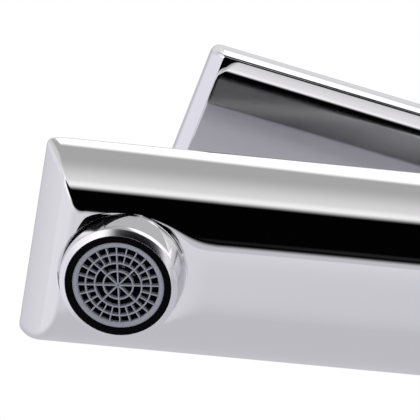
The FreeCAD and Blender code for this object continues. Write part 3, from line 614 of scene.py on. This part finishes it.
# Lever: a chromed zinc casting. Below, a rim runs round it; inside a fine groove the underside bellies
# out over a shoulder, a curve and a slope, down to a flat that clears the dome. A square socket takes
# the stem, and a steel grub screw behind a chromed plug clamps it.
LEVER_TURN = math.radians(11.3)
RIM_Z = 137.5
HUB_Z = 133.9
LEVER_HALF = 14.8
LEVER_FRONT = -104.6
LEVER_REAR = 19.5
LEVER_ROUND = 6.0
LEVER_BAND = 4.4               # upright band above the rim
LEVER_CORNER = 2.3
LEVER_CORNER_LEAST = 0.4
REAR_CORNER = 1.0
SIDE_WALL = 0.4
END_WALL = 2.1
REAR_WALL = 3.5
RIM_ROUND = 0.15
RIM_CORNER = 0.6               # inner corner of the rim
NOSE_TILT = math.radians(35.0)
NOSE_ROUND = END_WALL / (1.0 - math.sin(NOSE_TILT))
GROOVE_WIDTH = 0.2
GROOVE_NOSE = 0.05             # the groove is finer at the front
GROOVE_TOP = RIM_Z + 3.0
GROOVE_PAINTED_SHADE = (RIM_Z + 0.2, GROOVE_TOP + 0.1)    # its walls are painted near black between these heights, as painted shade
BELLY_HALF = LEVER_HALF - SIDE_WALL - GROOVE_WIDTH
BELLY_LEVEL = 4.35
BELLY_SLOPE = math.radians(9.5)
BELLY_TURN = math.radians(38.7)
BELLY_START = math.radians(51.0)
BELLY_OVERHANG = 0.9
BELLY_CORNER = 4.0
BELLY_CORNER_LEAST = 0.8
BELLY_ROUND = 0.4
CURVE_RADIUS = 5.1
SHOULDER_RADIUS = 12.0
STEM_HALF = 4.05
STEM_CORNER = 0.05
STEM_FOOT = 132.0
STEM_TOP = 145.95
SCREW_HEIGHT = 142.7
SCREW_RADIUS = 2.52
SCREW_END = 15.95
CAP_RADIUS = 2.82
SATIN_START = HUB_Z + 1.6      # the flat and the foot of the slope are left unpolished
SATIN_FULL = HUB_Z + 0.8
BLUISH_DARK = (0.75, 0.745, 0.775)
BLUISH_LIGHT = (0.78, 0.775, 0.805)


def belly_loop(half, height):
    """Outline of the lever's belly at one height, its ends rounded into the flat."""
    curl = min(max(0.0, BELLY_ROUND - (height - HUB_Z)), BELLY_ROUND)
    fillet = BELLY_ROUND - math.sqrt(BELLY_ROUND ** 2 - curl ** 2)
    overhang = BELLY_OVERHANG * min(max((RIM_Z - height) / (RIM_Z - HUB_Z), 0.0), 1.0)
    front = LEVER_FRONT + END_WALL + GROOVE_NOSE + fillet - overhang
    rear = LEVER_REAR - REAR_WALL - GROOVE_WIDTH - fillet
    corner = max(BELLY_CORNER_LEAST, BELLY_CORNER - (BELLY_HALF - half))
    return plan_loop(half, front, rear, corner, height)


def rim_loop(share):
    """Outline across the rim, from its inner edge at 0 to its outer edge at 1; the nose curls up."""
    tilt = NOSE_TILT + (math.pi / 2.0 - NOSE_TILT) * share
    reach = NOSE_ROUND * (math.sin(tilt) - math.sin(NOSE_TILT))
    nose = NOSE_ROUND * (math.cos(NOSE_TILT) - math.cos(tilt))
    rise = RIM_ROUND * (1.0 - math.sqrt(1.0 - share * share))
    half = LEVER_HALF - SIDE_WALL * (1.0 - share)
    rear = LEVER_REAR - REAR_WALL * (1.0 - share)
    corner = RIM_CORNER + (LEVER_CORNER - RIM_CORNER) * share
    front = LEVER_FRONT + END_WALL - reach
    return plan_loop(half, front, rear, corner, RIM_Z + rise, nose - rise, REAR_CORNER)


def tilt_arc(corner, radius, start, end):
    """Half widths and heights of the belly along an arc that steepens from one tilt to another."""
    half, height = corner
    arc = []
    for tilt in spread(start, end, 24):
        outward = radius * (math.sin(tilt) - math.sin(start))
        upward = radius * (math.cos(start) - math.cos(tilt))
        arc.append((half + outward, height + upward))
    return arc


span = SHOULDER_RADIUS * (math.sin(BELLY_START) - math.sin(BELLY_TURN))
span += CURVE_RADIUS * (math.sin(BELLY_TURN) - math.sin(BELLY_SLOPE))
slope = spread(BELLY_LEVEL, BELLY_HALF - span, 12)
across = [(half, HUB_Z + (half - BELLY_LEVEL) * math.tan(BELLY_SLOPE)) for half in slope]
across += tilt_arc(across[-1], CURVE_RADIUS, BELLY_SLOPE, BELLY_TURN)[1:]
across += tilt_arc(across[-1], SHOULDER_RADIUS, BELLY_TURN, BELLY_START)[1:]
lever_loops = [belly_loop(half, height) for half, height in across]
lever_loops.append(belly_loop(BELLY_HALF, GROOVE_TOP))
lever_loops.append([(x, y, GROOVE_TOP) for x, y, z in rim_loop(0.0)])
lever_loops += [rim_loop(share) for share in spread(0.0, 1.0, 24)]
for turn in spread(0.0, math.pi / 2.0, 32):
    inset = LEVER_ROUND * (1.0 - math.cos(turn))
    height = RIM_Z + LEVER_BAND + LEVER_ROUND * math.sin(turn)
    half = LEVER_HALF - inset
    corner = max(LEVER_CORNER_LEAST, LEVER_CORNER - inset)
    front = LEVER_FRONT + inset
    lever_loops.append(plan_loop(half, front, LEVER_REAR, corner, height, rear_corner=REAR_CORNER))
lever = loft("lever_casting", lever_loops)

lever_plate = material("lever_plate", 1.0, BLUISH_DARK, BLUISH_LIGHT, 18.0, 0.015, 0.02)
tree = lever_plate.node_tree
start = Shade(tree, None)
place = start.make("ShaderNodeTexCoord", {}, {}, "Object")
height = start.make("ShaderNodeSeparateXYZ", {}, {"Vector": place}, "Z")
grain = start.make("ShaderNodeTexNoise", {}, {"Vector": place, "Scale": 160.0, "Detail": 2.0})
unpolished = height.ramp(SATIN_START * MM, SATIN_FULL * MM)
start.put(unpolished * (grain * 0.05 + 0.17) + 0.02, tree.nodes["Principled BSDF"].inputs["Roughness"])
# Painted shade: the groove's walls get a near-black material that stands in for the shadow in the fine
# groove.
painted_groove_shade = material("painted_groove_shade", 0.0, (0.002, 0.002, 0.002), (0.005, 0.005, 0.006), 60.0, 0.6, 0.2)
lever.data.materials.append(lever_plate)
lever.data.materials.append(painted_groove_shade)
# Faces of the groove's walls within these heights take the painted shade.
slack = 0.02
for face in lever.data.polygons:
    x, y, z = face.center / MM
    within_sides = abs(x) < LEVER_HALF - SIDE_WALL + slack
    within_ends = LEVER_FRONT + END_WALL - slack < y < LEVER_REAR - REAR_WALL + slack
    if within_sides and within_ends and GROOVE_PAINTED_SHADE[0] < z < GROOVE_PAINTED_SHADE[1]:
        face.material_index = 1

stem_loops = [
    plan_loop(STEM_HALF, -STEM_HALF, STEM_HALF, STEM_CORNER, height) for height in (STEM_FOOT, STEM_TOP)
]
combine(lever, "DIFFERENCE", loft("stem_hole", stem_loops))
screw_stages = [(SCREW_RADIUS, 0.0, SCREW_END), (CAP_RADIUS, SCREW_END, LEVER_REAR + 1.5)]
screw_hole = plug("screw_hole", screw_stages, 48)
backwards = Matrix.Rotation(-math.pi / 2.0, 4, "X")
screw_hole.data.transform(Matrix.Translation((0.0, 0.0, SCREW_HEIGHT * MM)) @ backwards)
combine(lever, "DIFFERENCE", screw_hole)
lever.data.transform(Matrix.Rotation(LEVER_TURN, 4, "Z"))
round_over(lever, 30.0)
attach(lever, "lever")
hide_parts("lever")
dress(steel, "grub_screw")
dress(chrome, "index_cap")


# Aerator housing: a chromed brass sleeve, turned, with two milled wrench flats and a bevelled rim. It
# screws into the spout's socket, and the lathe's polish is softer than the buffed casting's.
SLEEVE_BORE = 10.0
SLEEVE_THREAD = 11.95
SLEEVE_THREAD_TOP = 5.5
SLEEVE_SEAT = -0.8
SLEEVE_RADIUS = 13.3
BEVEL_RADIUS = 12.6
BEVEL_START = -7.45
MOUTH_RADIUS = 11.4
MOUTH = -8.3
LEDGE_RADIUS = 11.05
LEDGE = -6.9
FLAT_TURN = 11.5
FLAT_FOOT = (10.5, -6.3)       # the slanted flat's distance from the axis, and its height
FLAT_HEAD = (13.3, -0.75)
FLAT_CUTTER = (16.0, 20.0, 0.5)    # half width, far side and corner of the block that mills it
housing_profile = [(SLEEVE_BORE, SLEEVE_THREAD_TOP), (SLEEVE_THREAD, SLEEVE_THREAD_TOP)]
housing_profile += [(SLEEVE_THREAD, SLEEVE_SEAT), (SLEEVE_RADIUS - 0.2, SLEEVE_SEAT)]
housing_profile += [(SLEEVE_RADIUS, SLEEVE_SEAT - 0.2), (BEVEL_RADIUS + 0.1, BEVEL_START + 0.25)]
housing_profile += [(BEVEL_RADIUS, BEVEL_START), (MOUTH_RADIUS + 0.2, MOUTH + 0.1)]
housing_profile += [(MOUTH_RADIUS, MOUTH), (MOUTH_RADIUS - 0.15, MOUTH + 0.05)]
housing_profile += [(LEDGE_RADIUS, LEDGE), (SLEEVE_BORE, LEDGE)]
housing = revolve("aerator_sleeve", housing_profile, 256)
for name, rough in (("turned_plate", 0.14), ("turned_bevel", 0.2)):
    housing.data.materials.append(material(name, 1.0, BLUISH_DARK, BLUISH_LIGHT, 18.0, rough, 0.03))
for face in housing.data.polygons:
    if face.center.z / MM < BEVEL_START + 0.2:
        face.material_index = 1
cutter_half, cutter_back, cutter_corner = FLAT_CUTTER
for turn in (FLAT_TURN, FLAT_TURN + 180.0):
    sides = (FLAT_FOOT, FLAT_HEAD)
    flat = loft("flat", [plan_loop(cutter_half, near, cutter_back, cutter_corner, z) for near, z in sides])
    flat.data.transform(Matrix.Rotation(math.radians(turn - 90.0), 4, "Z"))
    combine(housing, "DIFFERENCE", flat)
lean(housing)
round_over(housing, 25.0)
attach(housing, "root")
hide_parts("aerator_housing")


# Aerator's inside: a rubber washer, a steel strainer, the black plastic insert and the plate of jets
# behind the grid. They are pushed into the sleeve, and keep their CAD shape. The insert is darkened
# beyond black plastic as painted shade of its recess, and the jet plate is painted near black as the
# shade seen through the grid's cells.
# Black plastic, darkened further as painted shade of the recess round the grid.
black_and_shade_dark = (0.0015, 0.0015, 0.002)
black_plastic_and_shade = material("black_moulding_and_shade", 0.0, black_and_shade_dark, (0.004, 0.004, 0.005), 70.0, 0.3, 0.15, 0.1)
# Painted shade: the jet plate is grey plastic, coloured near-black navy for the shade seen through the
# grid's cells.
painted_cell_shade = material("jet_plate_painted_shade", 0.0, (0.003, 0.004, 0.009), (0.006, 0.008, 0.016), 70.0, 0.4, 0.15)
# Their reflection is turned down too, so both read as painted shade.
for dull in (black_plastic_and_shade, painted_cell_shade):
    dull.node_tree.nodes["Principled BSDF"].inputs["Specular IOR Level"].default_value = 0.02
dress(rubber, "aerator_washer")
dress(steel, "inlet_strainer")
dress(black_plastic_and_shade, "aerator_insert")
dress(painted_cell_shade, "jet_plate")


# Aerator grid: grey moulded plastic. Thin rings are tied by ribs, eight in the middle and twenty-four
# further out, inside a flat rim that snaps into the black insert.
GRID_FACE = -8.1
GRID_DEPTH = 1.2
GRID_TURN = math.radians(34.0)
RING_RADII = (3.16, 5.0, 6.97)
RING_HALF = 0.16
RING_SOFT = 0.08
GRID_RIM_INSIDE = 8.6
GRID_RIM_OUTSIDE = 9.85
RIB_OUTER = 8.7
RIB_SHORT = 0.04               # ribs are this much less deep than the rings
INNER_RIBS = (8, 0.0, RING_RADII[1], 0.28)
OUTER_RIBS = (24, RING_RADII[1], RIB_OUTER, 0.25)


def ring_profile(inner, outer, depth):
    """Square ring with its lower edges softened, as (radius, height) corners."""
    top = depth / 2.0
    ring = [(inner, top), (outer, top), (outer, RING_SOFT - top), (outer - RING_SOFT, -top)]
    return ring + [(inner + RING_SOFT, -top), (inner, RING_SOFT - top)]


def join(name, pieces):
    """One object from several; they are used up."""
    mesh = bmesh.new()
    for piece in pieces:
        mesh.from_mesh(piece.data)
        bpy.data.meshes.remove(piece.data)
    return finish_mesh(name, mesh)


grid_grey = material("grid_moulding", 0.0, (0.34, 0.36, 0.42), (0.4, 0.42, 0.48), 90.0, 0.32, 0.15, 0.1)
sizes = {"Ribs": "NodeSocketInt"}
for label in ("Inner Radius", "Outer Radius", "Rib Width", "Depth"):
    sizes[label] = "NodeSocketFloat"
ribs_tree, given = new_tree("rib_wheel", sizes)
both = calculate(ribs_tree, "ADD", given["Inner Radius"], given["Outer Radius"])
wheel = place_node(ribs_tree, "GeometryNodeMeshCircle", {
    "Vertices": given["Ribs"], "Radius": calculate(ribs_tree, "MULTIPLY", both, 0.5),
})
size = place_node(ribs_tree, "ShaderNodeCombineXYZ", {
    "X": calculate(ribs_tree, "SUBTRACT", given["Outer Radius"], given["Inner Radius"]),
    "Y": given["Rib Width"],
    "Z": given["Depth"],
})
rib = place_node(ribs_tree, "GeometryNodeMeshCube", {"Size": size.outputs[0]})
number = place_node(ribs_tree, "GeometryNodeInputIndex", {})
share = calculate(ribs_tree, "DIVIDE", number.outputs[0], given["Ribs"])
angle = calculate(ribs_tree, "MULTIPLY", share, 2.0 * math.pi)
euler = place_node(ribs_tree, "ShaderNodeCombineXYZ", {"Z": angle})
aim = place_node(ribs_tree, "FunctionNodeEulerToRotation", {"Euler": euler.outputs[0]})
ribs = place_node(ribs_tree, "GeometryNodeInstanceOnPoints", {
    "Points": wheel.outputs[0], "Instance": rib.outputs[0], "Rotation": aim.outputs[0],
})
end_tree(ribs_tree, ribs.outputs[0], given["Geometry"], grid_grey)
grid_pieces = []
for radius in RING_RADII:
    grid_pieces.append(revolve("ring", ring_profile(radius - RING_HALF, radius + RING_HALF, GRID_DEPTH), 96))
rim = [(GRID_RIM_INSIDE, GRID_DEPTH / 2.0), (GRID_RIM_OUTSIDE, GRID_DEPTH / 2.0), (GRID_RIM_OUTSIDE, -0.35)]
rim += [(9.7, -0.55), (9.3, -0.62), (8.85, -0.55), (GRID_RIM_INSIDE, -0.3)]
grid_pieces.append(revolve("rim", rim, 128))
grid = join("outlet_grid", grid_pieces)
for count, inner, outer, width in (INNER_RIBS, OUTER_RIBS):
    grow(grid, ribs_tree, {
        "Ribs": count,
        "Inner Radius": inner * MM,
        "Outer Radius": outer * MM,
        "Rib Width": width * MM,
        "Depth": (GRID_DEPTH - RIB_SHORT) * MM,
    })
grid.data.transform(Matrix.Rotation(GRID_TURN, 4, "Z"))
grid.data.transform(Matrix.Translation((0.0, 0.0, (GRID_FACE + GRID_DEPTH / 2.0) * MM)))
lean(grid)
round_over(grid, 40.0)
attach(grid, "root")
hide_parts("aerator_grid")


# Camera: a long lens below the spout's tip, looking up at the aerator and rolled to one side. The turn
# is the look's heading from +X, and the climb its angle above level.
VIEW_AIM = Vector((15.804, -101.957, 97.6)) * MM
VIEW_DISTANCE = 997.83 * MM
VIEW_TURN = math.radians(159.358)
VIEW_CLIMB = math.radians(63.8874)
VIEW_ROLL = math.radians(-13.0553)
camera_data = bpy.data.cameras.new("camera")
camera_data.lens = 406.27
camera_data.sensor_width = 36.0
camera_data.clip_end = 20.0
camera = bpy.data.objects.new("camera", camera_data)
bpy.context.scene.collection.objects.link(camera)
level_look = Vector((math.cos(VIEW_TURN), math.sin(VIEW_TURN), 0.0))
look = level_look * math.cos(VIEW_CLIMB) + Vector((0.0, 0.0, math.sin(VIEW_CLIMB)))
axes = look.to_track_quat("-Z", "Y") @ Quaternion((0.0, 0.0, 1.0), VIEW_ROLL)
camera.matrix_world = Matrix.Translation(VIEW_AIM - look * VIEW_DISTANCE) @ axes.to_matrix().to_4x4()
bpy.context.scene.camera = camera
bpy.context.scene.view_settings.view_transform = "Standard"


# Studio: a pale floor far below and a white room that the plate mirrors. The room is dark behind the
# camera, its near half lies towards +X, and what the camera sees directly is plain white.
FLOOR_LEVEL = -1200.0 * MM
FLOOR_HALF = 3000.0 * MM
floor_mesh = bmesh.new()
bmesh.ops.create_grid(floor_mesh, x_segments=8, y_segments=8, size=FLOOR_HALF)
floor = finish_mesh("floor", floor_mesh)
floor.data.transform(Matrix.Translation((0.0, 0.0, FLOOR_LEVEL)))
pale_floor = material("pale_floor", 0.0, (0.78, 0.78, 0.78), (0.82, 0.82, 0.82), 2.0, 0.7, 0.1)
floor.data.materials.append(pale_floor)
floor.visible_glossy = False

world = bpy.data.worlds.new("studio")
bpy.context.scene.world = world
world.use_nodes = True
room = world.node_tree
room.nodes.clear()
start = Shade(room, None)
way = start.make("ShaderNodeTexCoord", {}, {}, "Generated")
x, y, z = (start.make("ShaderNodeSeparateXYZ", {}, {"Vector": way}, axis) for axis in "XYZ")
facing = x * -look.x + y * -look.y + z * -look.z    # 1 straight towards the camera
near = x.ramp(-0.15, 0.15)
dark = near * facing.ramp(0.757, 0.84) + (1.0 - near) * facing.ramp(0.72, 0.785)
dark = dark * y.ramp(-0.62, -0.45)
near_wall = z.ramp(-0.5, 0.3, 0.95, 0.5) + facing.ramp(0.66, 0.75) * 0.2
far_wall = facing.ramp(0.5, 0.68) * 0.2 - facing.ramp(0.68, 0.692) * 0.2 - z.ramp(0.5, 0.85) * 0.06 + 0.7
softbox = x.ramp(0.36, 0.46) * (z + y * 2.4).ramp(0.96, 1.08) * 0.9
front_wall = y.ramp(-0.33, -0.74) * 0.3
ceiling = near * z.ramp(0.7, 0.95) * 0.38
light = near * near_wall + (1.0 - near) * far_wall + softbox + front_wall + ceiling
level = light * (1.0 - dark) + 0.001
tint = near.mix((0.95, 0.935, 1.0), (1.0, 0.99, 0.99))
room_light = start.make("ShaderNodeBackground", {}, {"Color": tint, "Strength": level})
white = start.make("ShaderNodeBackground", {}, {"Color": (1.0, 1.0, 1.0, 1.0), "Strength": 1.0})
seen = start.make("ShaderNodeLightPath", {}, {}, "Is Camera Ray")
sky = start.make("ShaderNodeMixShader", {}, {0: seen, 1: room_light, 2: white})
ending = room.nodes.new("ShaderNodeOutputWorld")
room.links.new(sky.output, ending.inputs["Surface"])
